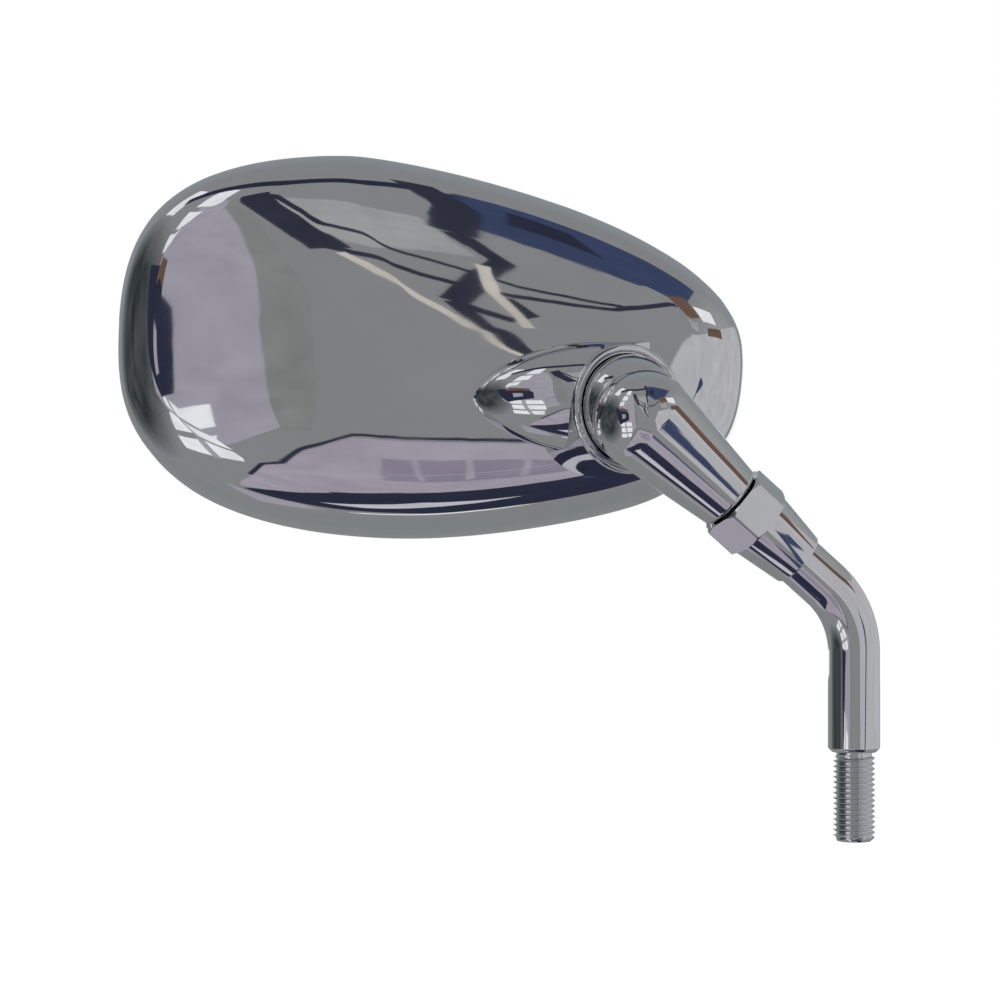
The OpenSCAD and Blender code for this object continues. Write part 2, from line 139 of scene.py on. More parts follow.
class HeadSizes(bpy.types.PropertyGroup):
    rim_back: length_prop("Rim", "From the ball's centre back to the rim", 36.5)
    depth: length_prop("Depth", "From the rim to the dome's crown", 32)
    shoulder_depth: length_prop("Shoulder depth", "Depth where the dome begins", 26.3)
    shoulder_inset: length_prop("Shoulder inset", "Inset where the dome begins", 12.6)
    rim_round: length_prop("Rim round", "Rounding of the rim's outer edge", 0.6)
    crown_up: length_prop("Crown up", "Shift of the crown upwards", 2)
    crown_out: length_prop("Crown out", "Shift of the crown outwards", 0.6)
    wall: length_prop("Wall", "Thickness of the shell", 2.3)
    rim_wall: length_prop("Rim wall", "Wall round the glass", 2)
    recess: length_prop("Recess", "Depth of the seat for the glass", 5.2)
    pod_length: length_prop("Pod length", "Length of the pod's nose", 30)
    pod_radius: length_prop("Pod radius", "Radius of the pod at the collar", 13.4)
    pod_up: length_prop("Pod height", "Pod's axis above the ball's centre", 3)
    pod_sunk: length_prop("Pod depth", "Pod's axis below the crown", 1.5)
    lip: length_prop("Lip", "Width of the collar's rounded lip", 2.2)
    collar_turn: angle_prop("Collar turn", "Turn of the collar towards the stem", 30)
    pod_fullness: FloatProperty(name="Pod fullness", description="Shape of the nose", default=0.62)
    dome_power: FloatProperty(name="Dome power", description="Flatness of the crown", default=2.4)


class JointSizes(bpy.types.PropertyGroup):
    ball: length_prop("Ball radius", "Radius of the arm's ball", 12.8)
    gap: length_prop("Gap", "Play round the ball", 0.3)
    socket: length_prop("Socket", "Radius of the socket that holds the nylon ring", 14.2)
    socket_outside: length_prop("Socket outside", "Outside radius of the socket", 16.1)
    cup: length_prop("Cup", "Radius of the cup that the washer swings in", 13.18)
    cup_floor: length_prop("Cup floor", "Height of the cup's floor above the ball's centre", 11)
    cup_length: length_prop("Cup length", "Height of the cup's edge", 19)
    socket_angle: angle_prop("Socket angle", "Where the socket narrows", 52)
    hole_angle: angle_prop("Hole angle", "Half angle of the stud's hole", 25)


class ArmSizes(bpy.types.PropertyGroup):
    start: length_prop("Start", "From the bend's corner to the arm's end", 40.6)
    elbow_distance: length_prop("Elbow", "From the bend's corner to the elbow", 68.4)
    tip: length_prop("Tip radius", "Radius of the arm at the nut", 8.15)
    elbow: length_prop("Elbow radius", "Radius of the elbow", 11.6)
    fillet: length_prop("Fillet", "Fillet between ball and elbow", 2)
    end_round: length_prop("End round", "Rounding of the arm's end", 1.2)
    hole_depth: length_prop("Hole depth", "Depth of the tapped hole", 19)


class NutSizes(bpy.types.PropertyGroup):
    skirt_start: length_prop("Skirt start", "From the bend's corner to the skirt", 18.7)
    skirt_length: length_prop("Skirt length", "Length of the tapered skirt", 12.7)
    skirt_wall: length_prop("Skirt wall", "Least wall of the skirt", 0.65)
    flats: length_prop("Flats", "Width across the flats", 17)
    hexagon: length_prop("Hexagon", "Length of the hexagon", 8.9)
    chamfer: length_prop("Chamfer", "Chamfer on the hexagon's corners", 1.1)


class StemSizes(bpy.types.PropertyGroup):
    rod: length_prop("Rod radius", "Radius of the bent rod", 6.1)
    bend: length_prop("Bend radius", "Radius of the bend", 21)
    rod_end: length_prop("Rod end", "From the bend's corner to the rod's shoulder", 21.2)
    stud: length_prop("Stud radius", "Radius over the thread's crests", 4.95)
    stud_length: length_prop("Stud length", "Length of the mounting stud", 21)
    upper_length: length_prop("Upper thread", "Length of the upper thread", 34)
    pitch: length_prop("Pitch", "Pitch of the threads", 1.25)
    thread_depth: length_prop("Thread depth", "Depth of the threads", 0.72)
    chamfer: length_prop("Chamfer", "Chamfer on shoulders and thread ends", 1)


class GlassSizes(bpy.types.PropertyGroup):
    curve: length_prop("Curve", "Radius of the convex glass", 1200)
    thickness: length_prop("Thickness", "Thickness of the glass", 2.2)
    proud: length_prop("Proud", "Height of the glass above the rim", 0.8)
    edge: length_prop("Edge", "From the outline in to the glass", 3.82)


class FinishColours(bpy.types.PropertyGroup):
    chrome: colour_prop("Chrome", "Colour of the chrome plate", (0.80, 0.81, 0.82))
    zinc: colour_prop("Zinc", "Colour of zinc plated steel", (0.62, 0.63, 0.64))
    spring: colour_prop("Spring", "Colour of spring steel", (0.2, 0.2, 0.21))
    nylon: colour_prop("Nylon", "Colour of the nylon ring", (0.85, 0.84, 0.78))
    insert: colour_prop("Insert", "Colour of the nut's insert", (0.12, 0.22, 0.55))
    carrier: colour_prop("Carrier", "Colour of the carrier plate", (0.03, 0.03, 0.032))
    foam: colour_prop("Foam", "Colour of the adhesive pad", (0.06, 0.06, 0.065))
    gasket: colour_prop("Gasket", "Colour of the rubber frame", (0.02, 0.02, 0.02))
    glass: colour_prop("Glass", "Colour of the silvered glass", (0.86, 0.88, 0.89))


class StudioColours(bpy.types.PropertyGroup):
    wall: colour_prop("Wall", "Colour of the surroundings in front", (0.27, 0.27, 0.278))
    left: colour_prop("Left", "Colour of the surroundings on the left", (0.025, 0.034, 0.036))
    right: colour_prop("Right", "Colour of the surroundings on the right", (0.36, 0.37, 0.365))
    above: colour_prop("Above", "Colour of the surroundings above", (0.27, 0.3, 0.32))
    below: colour_prop("Below", "Colour of the surroundings below", (0.245, 0.262, 0.258))
    ambient: colour_prop("Ambient", "Even light on dull surfaces", (0.42, 0.43, 0.44))
    floor: colour_prop("Floor", "Colour of the floor", (0.9, 0.9, 0.9))
    floor_height: length_prop("Floor", "Height of the floor", -900)
    camera_distance: length_prop("Camera", "From the stem to the camera", 505)
    camera_lens: FloatProperty(name="Lens", description="Focal length in millimetres", default=76.9)
    radius: length_prop("Surroundings", "Radius of the surroundings", 950)


class MirrorSettings(bpy.types.PropertyGroup):
    head: PointerProperty(type=HeadSizes)
    joint: PointerProperty(type=JointSizes)
    arm: PointerProperty(type=ArmSizes)
    nut: PointerProperty(type=NutSizes)
    stem: PointerProperty(type=StemSizes)
    glass: PointerProperty(type=GlassSizes)
    finish: PointerProperty(type=FinishColours)
    studio: PointerProperty(type=StudioColours)


# Places

def facing(axis, origin):
    """A frame at origin whose local Z runs along axis."""
    return Matrix.Translation(origin) @ axis.to_track_quat("Z", "Y").to_matrix().to_4x4()


def head_point(x, z, depth, head):
    """A place in the head: x and z round the ball's centre, depth from the rim forwards."""
    return BALL_CENTRE + Vector((x, head.rim_back - depth, z))


def collar_axis(head):
    return Vector((math.sin(head.collar_turn), -math.cos(head.collar_turn), 0))


# Outlines

def arc(centre, radius, start, end, steps):
    """Points of (across, along) on an arc; angles in radians from the axis."""
    return [
        (centre[0] + radius * math.sin(start + (end - start) * i / steps),
         centre[1] + radius * math.cos(start + (end - start) * i / steps))
        for i in range(steps + 1)
    ]


def head_outline(steps):
    """The head's outline in metres, smoothed so that its curvature runs on."""
    points = []
    for i, (anchor, angle, _, out) in enumerate(HEAD_OUTLINE):
        to, to_angle, back, _ = HEAD_OUTLINE[(i + 1) % len(HEAD_OUTLINE)]
        a, d = Vector(anchor), Vector(to)
        b = a + out * Vector((math.cos(math.radians(angle)), math.sin(math.radians(angle))))
        c = d - back * Vector(
            (math.cos(math.radians(to_angle)), math.sin(math.radians(to_angle))))
        for k in range(steps):
            t = k / steps
            points.append(
                (1 - t) ** 3 * a + 3 * (1 - t) ** 2 * t * b + 3 * (1 - t) * t * t * c + t ** 3 * d)
    for _ in range(12):
        points = [
            0.25 * points[i - 1] + 0.5 * p + 0.25 * points[(i + 1) % len(points)]
            for i, p in enumerate(points)
        ]
    return [p * MM for p in points]


def inset_outline(outline, inset):
    """The outline moved inwards."""
    moved = []
    for i, p in enumerate(outline):
        along = outline[(i + 1) % len(outline)] - outline[i - 1]
        moved.append(p + inset * Vector((-along.y, along.x)).normalized())
    return moved


# What the chrome reflects: flat-coloured panels of a room round the head. A corner is an
# azimuth, from the camera's side round towards the stem, and an elevation, in degrees.
# A later panel hides an earlier one. Colours are linear.

WHITE = (0.95, 0.96, 0.98)
PALE = (0.4, 0.38, 0.44)
GREY_GREEN = (0.26, 0.272, 0.262)
HIGHLIGHT = (0.4, 0.4, 0.405)
NAVY = (0.05, 0.068, 0.14)
DEEP_NAVY = (0.028, 0.032, 0.06)
STRAP = (0.035, 0.038, 0.06)
CREAM = (0.62, 0.58, 0.52)
BROWN = (0.16, 0.1, 0.075)
LILAC = (0.42, 0.385, 0.45)
PURPLE = (0.3, 0.26, 0.34)

PANELS = [
    ("pale_wall", PALE, [(-50, 56), (-34, 50), (-24, 32), (-20, 12), (-17, -4), (-18, -20),
                         (-28, -26), (-46, -30), (-60, -10), (-62, 12), (-56, 36)]),
    ("wall_edge", GREY_GREEN, [(-34, 50), (-28, 51), (-20, 32), (-15, 12), (-13, -4),
                               (-14, -22), (-18, -22), (-17, -4), (-20, 12), (-24, 32)]),
    ("top_glow", HIGHLIGHT, [(-22, 46), (6, 50), (8, 36), (-6, 30), (-16, 34)]),
    ("navy_beam", NAVY, [(8, 52), (30, 72), (64, 62), (88, 46), (52, 38), (30, 37), (20, 46)]),
    ("beam_shade", DEEP_NAVY, [(20, 54), (30, 64), (40, 60), (32, 48)]),
    ("black_floor_edge", DEEP_NAVY, [(-84, -62), (-60, -62), (-30, -57), (-4, -53), (26, -53),
                                     (70, -60), (110, -60), (130, -80), (180, -84), (-130, -84)]),
    ("under_left", PALE, [(-128, -60), (-90, -58), (-90, -72), (-124, -74)]),
    ("under_line", WHITE, [(-130, -79), (180, -83), (130, -79), (130, -76), (180, -80),
                           (-130, -76)]),
    ("under_glow", (0.62, 0.61, 0.68), [(-56, -73), (-4, -71), (34, -73), (24, -78), (-54, -80)]),
    ("right_glow", (0.54, 0.535, 0.555), [(31, 13), (60, 17), (142, 15), (142, -20), (72, -32),
                                          (32, -26), (24, -6)]),
    ("lilac_table", LILAC, [(-24, -38), (-17, -30), (-10, -25), (4, -29), (20, -33), (34, -47),
                            (29, -56), (17, -57), (-8, -56), (-24, -58)]),
    ("lilac_corner", LILAC, [(-24, -38), (-24, -59), (-40, -62), (-60, -63), (-77, -61),
                             (-58, -57), (-41, -51)]),
    ("purple_front", PURPLE, [(-7, -33), (14, -36), (18, -49), (-8, -45)]),
    ("navy_box", NAVY, [(24, -38), (44, -36), (56, -60), (30, -60)]),
    ("window_low_a", WHITE, [(-53, -9), (-28, -10), (-27, -18), (-54, -17)]),
    ("window_low_b", WHITE, [(-54, -20), (-27, -21), (-28, -30), (-56, -29)]),
    ("window_low_c", WHITE, [(-58, -32), (-30, -33), (-33, -41), (-62, -39)]),
    ("window_frame", PALE, [(-43, -8), (-40, -8), (-42, -42), (-46, -42)]),
    ("window_up_a", WHITE, [(-58, 62), (-44, 60), (-42, 50), (-58, 50)]),
    ("window_up_b", WHITE, [(-60, 47), (-46, 47), (-45, 38), (-60, 36)]),
    ("window_up_c", WHITE, [(-62, 33), (-50, 35), (-50, 27), (-62, 24)]),
    ("left_box_navy", DEEP_NAVY, [(-70, 20), (-44, 17), (-34, 9), (-33, -5), (-56, -13)]),
    ("left_box_brown", BROWN, [(-56, 22), (-38, 17), (-36, 11), (-46, 14), (-58, 14)]),
    ("left_box_light", PALE, [(-50, 8), (-42, 7), (-41, 0), (-49, -2)]),
    ("right_box_brown", BROWN, [(40, 40), (58, 42), (60, 31), (42, 30)]),
    ("right_box_white", WHITE, [(60, 38), (82, 34), (80, 24), (62, 28)]),
    ("right_box_dark", BROWN, [(64, 22), (86, 20), (84, 13), (62, 15)]),
    ("right_box_grey", HIGHLIGHT, [(40, 27), (56, 28), (54, 19), (38, 19)]),
    ("right_light", (0.55, 0.54, 0.57), [(78, 10), (118, 12), (118, -10), (80, -8)]),
    ("left_lamp", WHITE, [(-100, 58), (-78, 60), (-80, 44), (-100, 42)]),
]
# Bands: name, colour, width in degrees, places along it
BANDS = [
    ("shoulder_line", DEEP_NAVY, 5, [(-84, 52), (-62, 61), (-30, 64), (0, 66), (24, 70)]),
    ("wide_strap", STRAP, 5, [(-30, 54), (-22, 43), (-11, 28)]),
    ("thin_strap", STRAP, 1.6, [(-11, 28.5), (1, 23), (8, 22.5), (22, 24), (40, 34)]),
    ("upper_strap", STRAP, 1.2, [(-26, 52), (-12, 38), (0, 31), (10, 27), (24, 26)]),
    ("cream_strap", CREAM, 1.3, [(-10, 27), (-3, 17), (1, 9.5), (7, 2)]),
    ("curl_top", STRAP, 4, [(22, 76), (14, 56), (9, 46)]),
    ("curl_middle", STRAP, 2.6, [(9, 46), (11, 36), (5, 25), (1, 16)]),
    ("curl_end", STRAP, 2, [(1, 16), (3, 9), (8, 3), (10, 1)]),
    ("hook", STRAP, 2, [(1, 16), (6, 13), (9, 16), (7, 21)]),
    ("cream_post", CREAM, 1.6, [(8, 33), (6, 22), (8, 10)]),
    ("table_line", DEEP_NAVY, 1, [(-41, -50), (-24, -37), (-17, -29), (-10, -24), (4, -28),
                                  (20, -32)]),
    ("arm_shade", NAVY, 3, [(36, -34), (43, -14), (56, -2)]),
    ("window_grid_a", LILAC, 0.7, [(-3, -34), (-2, -46)]),
    ("window_grid_b", LILAC, 0.7, [(3, -34.5), (5, -47)]),
    ("window_grid_c", LILAC, 0.7, [(9, -35.5), (12, -48)]),
    ("window_grid_d", LILAC, 0.6, [(-7, -39), (16, -42)]),
]
PANEL_SPACING = 4 * MM
PANEL_CUTS = 7
PATCH_COLOUR = (0.3, 0.3, 0.31)

# Lamps: name, place and width in metres, power in watts
LAMPS = [
    ("key_light", (-0.9, -1.2, 1.3), 0.9, 26),
    ("fill_light", (1.2, -0.9, 0.8), 0.9, 12),
    ("back_light", (0.4, 1.3, 0.9), 0.9, 12),
]
CAMERA_ACROSS, CAMERA_HEIGHT = -0.07619, 0.03957
CAMERA_SHIFT = (-0.0317, 0.0846)
SENSOR_WIDTH = 36
FLOOR_REACH, FLOOR_BACK, FLOOR_GLOW = 6.0, 5.85, 0.7
# Where the surroundings are open behind the mirror, as shares of their radius
OPEN_BEHIND, OPEN_ABOVE = 0.9, -0.12


def towards(azimuth, elevation):
    a, e = math.radians(azimuth), math.radians(elevation)
    return Vector((math.sin(a) * math.cos(e), -math.cos(a) * math.cos(e), math.sin(e)))


# Meshes

def in_order(fresh, loop):
    """Extruded vertices in the order of the loop that they came from."""
    ordered = []
    for vert in loop:
        for edge in vert.link_edges:
            other = edge.other_vert(vert)
            if other in fresh and (other.co - vert.co).length < 1e-9:
                ordered.append(other)
                break
    return ordered


def skin(rings):
    """A closed solid through rings of places, extruded ring by ring and capped."""
    bm = bmesh.new()
    loop = [bm.verts.new(place) for place in rings[0]]
    bm.faces.new(loop)
    edges = [bm.edges.get((vert, loop[i - 1])) for i, vert in enumerate(loop)]
    for places in rings[1:]:
        made = bmesh.ops.extrude_edge_only(bm, edges=edges)["geom"]
        edges = [g for g in made if isinstance(g, bmesh.types.BMEdge)]
        loop = in_order({v for e in edges for v in e.verts}, loop)
        for vert, place in zip(loop, places):
            vert.co = place
    bm.faces.new(loop)
    bmesh.ops.recalc_face_normals(bm, faces=bm.faces)
    return bm


def spun_ring(section, place, steps=128):
    """A closed section of (radius, height) spun into a ring."""
    bm = bmesh.new()
    verts = [bm.verts.new((radius, 0.0, height)) for radius, height in section]
    edges = [bm.edges.new((v, verts[i - 1])) for i, v in enumerate(verts)]
    bmesh.ops.spin(
        bm, geom=verts + edges, cent=(0, 0, 0), axis=(0, 0, 1), dvec=(0, 0, 0),
        angle=2 * math.pi, steps=steps, use_merge=True, use_duplicate=False,
    )
    bmesh.ops.recalc_face_normals(bm, faces=bm.faces)
    bmesh.ops.transform(bm, matrix=place, verts=bm.verts)
    return bm


def rod(radius, start, end, place, steps=64):
    """A plain cylinder between two heights of place's frame."""
    return turned([(0, start), (radius, start), (radius, end), (0, end)], place, steps)


def turned(outline, place, steps=128):
    """A solid spun from an outline of (radius, height) round place's local Z axis."""
    bm = bmesh.new()
    verts = [bm.verts.new((radius, 0.0, height)) for radius, height in outline]
    edges = [bm.edges.new(pair) for pair in zip(verts, verts[1:])]
    bmesh.ops.spin(
        bm, geom=verts + edges, cent=(0, 0, 0), axis=(0, 0, 1), dvec=(0, 0, 0),
        angle=2 * math.pi, steps=steps, use_merge=True, use_duplicate=False,
    )
    bmesh.ops.remove_doubles(bm, verts=bm.verts, dist=1e-7)
    bmesh.ops.recalc_face_normals(bm, faces=bm.faces)
    bmesh.ops.transform(bm, matrix=place, verts=bm.verts)
    return bm


def as_object(bm, name):
    mesh = bpy.data.meshes.new(name)
    bm.to_mesh(mesh)
    bm.free()
    piece = bpy.data.objects.new(name, mesh)
    bpy.context.scene.collection.objects.link(piece)
    return piece


def combine(piece, operation, tool):
    """Applies a boolean with another bmesh to a piece's mesh."""
    cutter = as_object(tool, "tool")
    modifier = piece.modifiers.new(operation.lower(), "BOOLEAN")
    modifier.operation = operation
    modifier.solver = "EXACT"
    modifier.object = cutter
    depsgraph = bpy.context.evaluated_depsgraph_get()
    mesh = bpy.data.meshes.new_from_object(piece.evaluated_get(depsgraph))
    piece.modifiers.clear()
    piece.data = mesh
    bpy.data.objects.remove(cutter)


def close_seams(piece):
    """Merges the doubled corners that a boolean leaves and closes what stays open."""
    bm = bmesh.new()
    bm.from_mesh(piece.data)
    if any(len(edge.link_faces) != 2 for edge in bm.edges):
        bmesh.ops.remove_doubles(bm, verts=bm.verts, dist=4e-6)
        bmesh.ops.dissolve_degenerate(bm, edges=bm.edges, dist=1e-6)
        open_edges = [edge for edge in bm.edges if edge.is_boundary]
        bmesh.ops.holes_fill(bm, edges=open_edges, sides=0)
        bm.to_mesh(piece.data)
    bm.free()


def finish_piece(piece, material, body, nodes=(), sharp=40):
    """Shades a piece, gives it its material and hangs it on its body."""
    close_seams(piece)
    piece.data.shade_smooth()
    piece.data.set_sharp_from_angle(angle=math.radians(sharp))
    piece.data.materials.clear()
    piece.data.materials.append(material)
    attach(piece, body)
    if nodes:
        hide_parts(*nodes)
    return piece


def settings():
    return bpy.context.scene.mirror


# Materials

def new_material(name, colour, metallic, roughness):
    material = bpy.data.materials.new(name)
    material.use_nodes = True
    shader = material.node_tree.nodes["Principled BSDF"]
    shader.inputs["Base Color"].default_value = (*colour, 1)
    shader.inputs["Metallic"].default_value = metallic
    shader.inputs["Roughness"].default_value = roughness
    return material, shader


def add_noise(tree, scale, detail=4.0, stretch=(1, 1, 1)):
    """Noise on Object coordinates; scale in patches per metre."""
    coordinates = tree.nodes.new("ShaderNodeTexCoord")
    mapping = tree.nodes.new("ShaderNodeMapping")
    mapping.inputs["Scale"].default_value = stretch
    noise = tree.nodes.new("ShaderNodeTexNoise")
    noise.inputs["Scale"].default_value = scale
    noise.inputs["Detail"].default_value = detail
    tree.links.new(coordinates.outputs["Object"], mapping.inputs["Vector"])
    tree.links.new(mapping.outputs["Vector"], noise.inputs["Vector"])
    return noise.outputs["Fac"]


def map_range(tree, value, low, high, from_low=0.3, from_high=0.7):
    node = tree.nodes.new("ShaderNodeMapRange")
    node.inputs["From Min"].default_value = from_low
    node.inputs["From Max"].default_value = from_high
    node.inputs["To Min"].default_value = low
    node.inputs["To Max"].default_value = high
    tree.links.new(value, node.inputs["Value"])
    return node.outputs["Result"]


def tint(tree, value, dark, light):
    """A colour between two, by value."""
    ramp = tree.nodes.new("ShaderNodeValToRGB")
    ramp.color_ramp.elements[0].position = 0.3
    ramp.color_ramp.elements[0].color = (*dark, 1)
    ramp.color_ramp.elements[1].position = 0.7
    ramp.color_ramp.elements[1].color = (*light, 1)
    tree.links.new(value, ramp.inputs["Fac"])
    return ramp.outputs["Color"]


def add_bump(tree, shader, value, strength, distance):
    bump = tree.nodes.new("ShaderNodeBump")
    bump.inputs["Strength"].default_value = strength
    bump.inputs["Distance"].default_value = distance
    tree.links.new(value, bump.inputs["Height"])
    tree.links.new(bump.outputs["Normal"], shader.inputs["Normal"])


def shaded(colour, factor):
    return tuple(channel * factor for channel in colour)


def chrome(name, ripple=0.02):
    """Bright plate: faint polishing haze, slow ripple in the reflections."""
    colour = settings().finish.chrome
    material, shader = new_material(name, colour, 1.0, 0.04)
    tree = material.node_tree
    haze = add_noise(tree, 60, 5)
    tree.links.new(map_range(tree, haze, 0.02, 0.06), shader.inputs["Roughness"])
    tree.links.new(
        tint(tree, add_noise(tree, 18, 3), shaded(colour, 0.95), colour),
        shader.inputs["Base Color"])
    add_bump(tree, shader, add_noise(tree, 90, 1), ripple, 0.002)
    return material


def plain_finish(name, colour, metallic, low, high, scale, bump):
    """A finish with mottled roughness, slight colour change and a fine texture."""
    material, shader = new_material(name, colour, metallic, high)
    tree = material.node_tree
    grain = add_noise(tree, scale, 6)
    tree.links.new(map_range(tree, grain, low, high), shader.inputs["Roughness"])
    tree.links.new(
        tint(tree, add_noise(tree, scale / 8, 3), shaded(colour, 0.8), colour),
        shader.inputs["Base Color"])
    add_bump(tree, shader, grain, bump, 0.0002)
    return material


# Pieces

class MIRROR_OT_shell(bpy.types.Operator):
    """Build the chromed teardrop shell with its pod, collar and lip"""
    bl_idname = "mirror.shell"
    bl_label = "Teardrop shell"

    def execute(self, context):
        head, joint = settings().head, settings().joint
        inward = facing(-collar_axis(head), BALL_CENTRE)
        bore = joint.ball + joint.gap + head.lip - 1 * MM
        shell = as_object(self.outside(head), "teardrop_shell")
        combine(shell, "UNION", self.pod(head, 0))
        combine(shell, "DIFFERENCE", self.inside(head))
        combine(shell, "DIFFERENCE", self.pod(head, head.wall))
        combine(shell, "DIFFERENCE", rod(bore, -30 * MM, joint.cup_length, inward, 128))
        combine(shell, "UNION", self.housing(head, joint, inward))
        for x, z, start, end in BOSS_PLACES:
            place = facing(Vector((0, -1, 0)), head_point(x * MM, z * MM, 0, head))
            combine(shell, "UNION", rod(BOSS_RADIUS, start * MM, end * MM, place))
        for x, z, start, _ in BOSS_PLACES:
            place = facing(Vector((0, -1, 0)), head_point(x * MM, z * MM, 0, head))
            combine(shell, "DIFFERENCE", rod(
                SCREW_HOLE_RADIUS, SCREW_HOLE_START, (start + SCREW_HOLE_REACH) * MM, place, 32))
        finish_piece(
            shell, chrome("shell_chrome"), "head", ["housing_shell"], 30)
        return {"FINISHED"}

    def ring(self, outline, head, depth, inset, scale=1.0):
        """The outline at a depth of the head, moved in and drawn towards the dome's centre."""
        centre = DOME_CENTRE * MM
        lean = max(0.0, depth - head.recess) / (head.depth - head.recess)
        shift = Vector((-head.crown_out, head.crown_up)) * lean
        return [
            head_point(*(centre + scale * (p - centre) + shift), depth, head)
            for p in inset_outline(outline, inset)]

    def side(self, head, steps):
        """Depth and inset from the rim's rounding to the shoulder of the dome."""
        start = Vector((head.rim_round, 0))
        handle_a, handle_b = SIDE_HANDLES
        end = Vector((head.shoulder_depth, head.shoulder_inset))
        return [
            (1 - t) ** 3 * start + 3 * (1 - t) ** 2 * t * handle_a
            + 3 * (1 - t) * t * t * handle_b + t ** 3 * end
            for t in [k / steps for k in range(steps + 1)]]

    def dome(self, outline, head, depth, shoulder, inset, steps):
        """Rings from the shoulder to the crown."""
        rings = []
        for k in range(steps - 1, 0, -1):
            t = k / steps
            height = depth - (depth - shoulder) * t ** head.dome_power
            rings.append(self.ring(outline, head, height, inset, t))
        return rings

    def outside(self, head):
        outline = head_outline(64)
        rings = []
        for i in range(RIM_STEPS):
            angle = math.radians(90 * i / RIM_STEPS)
            rings.append(self.ring(
                outline, head, head.rim_round * (1 - math.cos(angle)),
                head.rim_round * (1 - math.sin(angle))))
        for depth, inset in self.side(head, 40):
            rings.append(self.ring(outline, head, depth, inset))
        rings += self.dome(outline, head, head.depth, head.shoulder_depth, head.shoulder_inset, 48)
        bm = skin(rings)
        soft_from = BALL_CENTRE.y + head.rim_back - DOME_SOFT_FROM
        soft = [v for v in bm.verts if v.co.y < soft_from]
        for _ in range(DOME_SOFT_PASSES):
            bmesh.ops.smooth_vert(
                bm, verts=soft, factor=0.5, use_axis_x=False, use_axis_y=True, use_axis_z=False)
        return bm

    def inside(self, head):
        outline = head_outline(24)
        wall = head.wall
        rings = [
            self.ring(outline, head, -1 * MM, head.rim_wall),
            self.ring(outline, head, head.recess, head.rim_wall),
            self.ring(outline, head, head.recess, head.rim_wall + GLASS_SEAT)]
        for depth, inset in self.side(head, 16):
            # the wall's thickness turns from sideways to forwards towards the shoulder
            turn = (depth / head.shoulder_depth) ** 6
            if depth > INNER_WALL_FROM:
                rings.append(self.ring(
                    outline, head, depth - wall * turn, inset + wall * (1 - 0.4 * turn)))
        rings += self.dome(
            outline, head, head.depth - wall, head.shoulder_depth - wall,
            head.shoulder_inset + wall * 0.6, 12)
        return skin(rings)

    def pod(self, head, wall):
        """Boat-shaped nose in front of the collar, cut square to the collar's mouth."""
        steps = 48
        radius, length = head.pod_radius - wall, head.pod_length - wall
        nose = []
        for i in range(steps + 1):
            u = 1 - math.cos(math.pi / 2 * i / steps)
            nose.append((radius * (1 - (1 - u) ** 2) ** head.pod_fullness, length * u))
        nose += [(radius, length + POD_TAIL), (0, length + POD_TAIL)]
        back = head.rim_back - head.depth + head.pod_sunk
        tip = BALL_CENTRE + Vector((-length - radius * POD_TIP_SHARE, back, head.pod_up))
        bm = turned(nose, facing(Vector((1, 0, 0)), tip), 160)
        collar = collar_axis(head)
        cut = bmesh.ops.bisect_plane(
            bm, geom=bm.verts[:] + bm.edges[:] + bm.faces[:], dist=1e-7,
            plane_co=BALL_CENTRE - collar * wall, plane_no=collar, clear_outer=True)
        bmesh.ops.contextual_create(
            bm, geom=[g for g in cut["geom_cut"] if isinstance(g, bmesh.types.BMEdge)])
        bmesh.ops.recalc_face_normals(bm, faces=bm.faces)
        return bm

    def housing(self, head, joint, inward):
        """Lip, socket, the stud's hole and the washer's cup, turned in one."""
        mouth = joint.ball + joint.gap
        outside = mouth + head.lip
        lip = head.lip / 2 - 0.05 * MM
        middle = (mouth + lip + 0.2 * MM, 0.2 * MM)
        inner_turn = math.asin(middle[1] / lip)
        outer_turn = math.acos((outside - middle[0]) / lip)
        # arc() measures its angles from the axis, so the lip runs from 270 degrees back
        section = [(mouth, 0)]
        section += arc(middle, lip, math.radians(270) - inner_turn,
                       math.radians(90) - outer_turn, 32)
        section += [(outside, joint.cup_length), (joint.cup, joint.cup_length),
                    (joint.cup, joint.cup_floor)]
        floor_turn = math.acos(joint.cup_floor / joint.socket_outside)
        centre = (0, 0)
        section += arc(centre, joint.socket_outside, floor_turn, joint.hole_angle, 12)
        section += arc(centre, joint.socket, joint.hole_angle, joint.socket_angle, 16)
        section += arc(centre, mouth, joint.socket_angle, math.radians(88), 20)
        return spun_ring(section, inward, 192)


